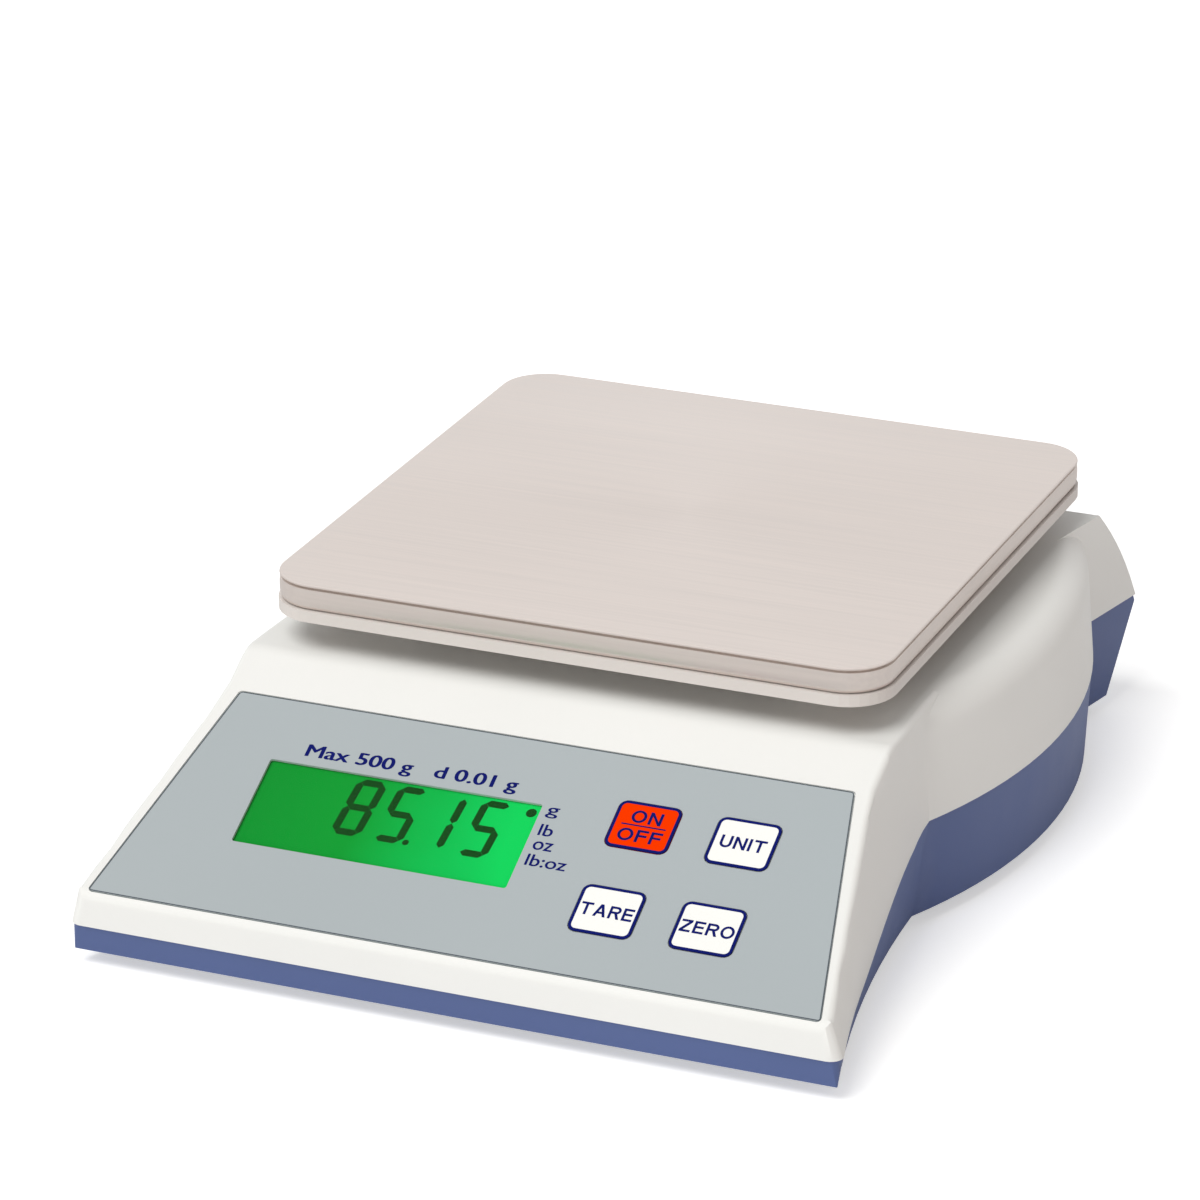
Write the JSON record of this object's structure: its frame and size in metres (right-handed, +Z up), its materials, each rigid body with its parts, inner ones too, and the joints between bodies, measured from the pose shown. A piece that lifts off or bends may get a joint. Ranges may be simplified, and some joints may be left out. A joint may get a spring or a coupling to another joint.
{
  "type": "top loading balance",
  "caption": "Low bench balance with a square steel weighing pan, a sloping faceplate with a green display and square keys, rounded sides and screw feet.",
  "frame": {"origin": "on the bench, under the middle of the body's width and depth", "axes": "+X to the right of the person who reads the display, +Y to the back, +Z up"},
  "size_m": [0.1786, 0.2316, 0.068],
  "materials": {
    "white_plastic": "satin moulded ABS",
    "blue_plastic": "satin moulded ABS",
    "faceplate_film": "satin printed film",
    "clear_window": "clear acrylic",
    "lcd_green": "glossy display glass",
    "light_guide": "diffuse light guide",
    "dark_plastic": "moulded nylon",
    "black_plastic": "moulded",
    "circuit_board": "solder resist",
    "switch_metal": "folded sheet",
    "zinc_steel": "zinc plated",
    "ribbon_grey": "flat cable",
    "key_orange": "satin printed cap",
    "key_white": "satin printed cap",
    "aluminium_bar": "machined",
    "silicone_white": "silicone coating",
    "dark_steel": "black oxide",
    "cable_grey": "cable jacket",
    "cable_red": "cable jacket",
    "cast_aluminium": "die cast",
    "silver_plastic": "satin moulded ABS",
    "black_rubber": "moulded rubber",
    "stainless_steel": "brushed stainless sheet",
    "insert_brass": "turned",
    "battery_jacket": "plain sleeve, no printing",
    "spring_steel": "nickel plated",
    "level_green": "clear cover over green liquid"
  },
  "bodies": {
    "housing": {"upper_housing": "white_plastic", "lower_housing": "blue_plastic", "faceplate": "faceplate_film", "display_window": "clear_window", "lcd_glass": "lcd_green", "lcd_backlight": "light_guide", "lcd_frame": "dark_plastic", "display_board": "circuit_board", "tact_switches": "switch_metal", "display_board_screws": "zinc_steel", "display_ribbon": "ribbon_grey", "main_board": "circuit_board", "main_board_parts": "black_plastic", "adc_shield": "zinc_steel", "main_board_screws": "zinc_steel", "load_cell": "aluminium_bar", "gauge_coating": "silicone_white", "cell_block": "aluminium_bar", "cell_screws": "dark_steel", "cell_cable": "cable_grey", "overload_stop": "dark_steel", "overload_nut": "zinc_steel", "foot_inserts": "insert_brass", "housing_screws": "zinc_steel", "batteries": "battery_jacket", "battery_contacts": "spring_steel", "battery_leads": "cable_grey", "power_socket": "black_plastic", "power_leads": "cable_red", "level_cup": "white_plastic", "level_window": "level_green"},
    "weigher": {"carrier": "cast_aluminium", "carrier_screws": "dark_steel", "support_posts": "aluminium_bar", "pan_support": "silver_plastic", "pan_support_screws": "zinc_steel", "pan_pads": "black_rubber"},
    "pan": {"weighing_pan": "stainless_steel"},
    "on_off_key": {"key_on_off": "key_orange", "plunger_on_off": "black_plastic"},
    "unit_key": {"key_unit": "key_white", "plunger_unit": "black_plastic"},
    "tare_key": {"key_tare": "key_white", "plunger_tare": "black_plastic"},
    "zero_key": {"key_zero": "key_white", "plunger_zero": "black_plastic"},
    "foot_front_left": {"sole_front_left": "black_rubber"},
    "foot_front_right": {"sole_front_right": "black_rubber"},
    "foot_rear_left": {"sole_rear_left": "black_rubber"},
    "foot_rear_right": {"sole_rear_right": "black_rubber"},
    "screw_front_left": {"wheel_front_left": "dark_plastic", "stud_front_left": "zinc_steel"},
    "screw_front_right": {"wheel_front_right": "dark_plastic", "stud_front_right": "zinc_steel"},
    "screw_rear_left": {"wheel_rear_left": "dark_plastic", "stud_rear_left": "zinc_steel"},
    "screw_rear_right": {"wheel_rear_right": "dark_plastic", "stud_rear_right": "zinc_steel"},
    "cover": {"battery_cover": "blue_plastic"}
  },
  "joints": [
    {"name": "weigh_travel", "type": "slide", "parent": "housing", "child": "weigher", "axis": [0, 0, 1], "range_m": [-0.0004, 0], "stiffness_N_per_m": 16000, "springref_m": 0.0002, "deforming": ["load_cell", "gauge_coating"]},
    {"name": "pan_lift", "type": "slide", "parent": "weigher", "child": "pan", "axis": [0, 0, 1], "range_m": [0, 0.02]},
    {"name": "on_off_press", "type": "slide", "parent": "housing", "child": "on_off_key", "axis": [0, 0.4664, -0.8846], "range_m": [0, 0.0005], "stiffness_N_per_m": 1500, "springref_m": -0.0003},
    {"name": "unit_press", "type": "slide", "parent": "housing", "child": "unit_key", "axis": [0, 0.4664, -0.8846], "range_m": [0, 0.0005], "stiffness_N_per_m": 1500, "springref_m": -0.0003},
    {"name": "tare_press", "type": "slide", "parent": "housing", "child": "tare_key", "axis": [0, 0.4664, -0.8846], "range_m": [0, 0.0005], "stiffness_N_per_m": 1500, "springref_m": -0.0003},
    {"name": "zero_press", "type": "slide", "parent": "housing", "child": "zero_key", "axis": [0, 0.4664, -0.8846], "range_m": [0, 0.0005], "stiffness_N_per_m": 1500, "springref_m": -0.0003},
    {"name": "foot_travel_front_left", "type": "slide", "parent": "housing", "child": "foot_front_left", "axis": [0, 0, -1], "range_m": [-0.001, 0.003]},
    {"name": "foot_travel_front_right", "type": "slide", "parent": "housing", "child": "foot_front_right", "axis": [0, 0, -1], "range_m": [-0.001, 0.003]},
    {"name": "foot_travel_rear_left", "type": "slide", "parent": "housing", "child": "foot_rear_left", "axis": [0, 0, -1], "range_m": [-0.001, 0.003]},
    {"name": "foot_travel_rear_right", "type": "slide", "parent": "housing", "child": "foot_rear_right", "axis": [0, 0, -1], "range_m": [-0.001, 0.003]},
    {"name": "foot_turn_front_left", "type": "hinge", "parent": "foot_front_left", "child": "screw_front_left", "pos_m": [-0.068, -0.088, 0.005], "axis": [0, 0, -1], "range_deg": [-360, 1080]},
    {"name": "foot_turn_front_right", "type": "hinge", "parent": "foot_front_right", "child": "screw_front_right", "pos_m": [0.068, -0.088, 0.005], "axis": [0, 0, -1], "range_deg": [-360, 1080]},
    {"name": "foot_turn_rear_left", "type": "hinge", "parent": "foot_rear_left", "child": "screw_rear_left", "pos_m": [-0.062, 0.084, 0.005], "axis": [0, 0, -1], "range_deg": [-360, 1080]},
    {"name": "foot_turn_rear_right", "type": "hinge", "parent": "foot_rear_right", "child": "screw_rear_right", "pos_m": [0.062, 0.084, 0.005], "axis": [0, 0, -1], "range_deg": [-360, 1080]},
    {"name": "cover_slide", "type": "slide", "parent": "housing", "child": "cover", "axis": [0, 1, 0], "range_m": [0, 0.065]}
  ],
  "couplings": [
    {"joint": "foot_travel_front_left", "follows": "foot_turn_front_left", "m_per_rad": 0.00015915},
    {"joint": "foot_travel_front_right", "follows": "foot_turn_front_right", "m_per_rad": 0.00015915},
    {"joint": "foot_travel_rear_left", "follows": "foot_turn_rear_left", "m_per_rad": 0.00015915},
    {"joint": "foot_travel_rear_right", "follows": "foot_turn_rear_right", "m_per_rad": 0.00015915}
  ]
}
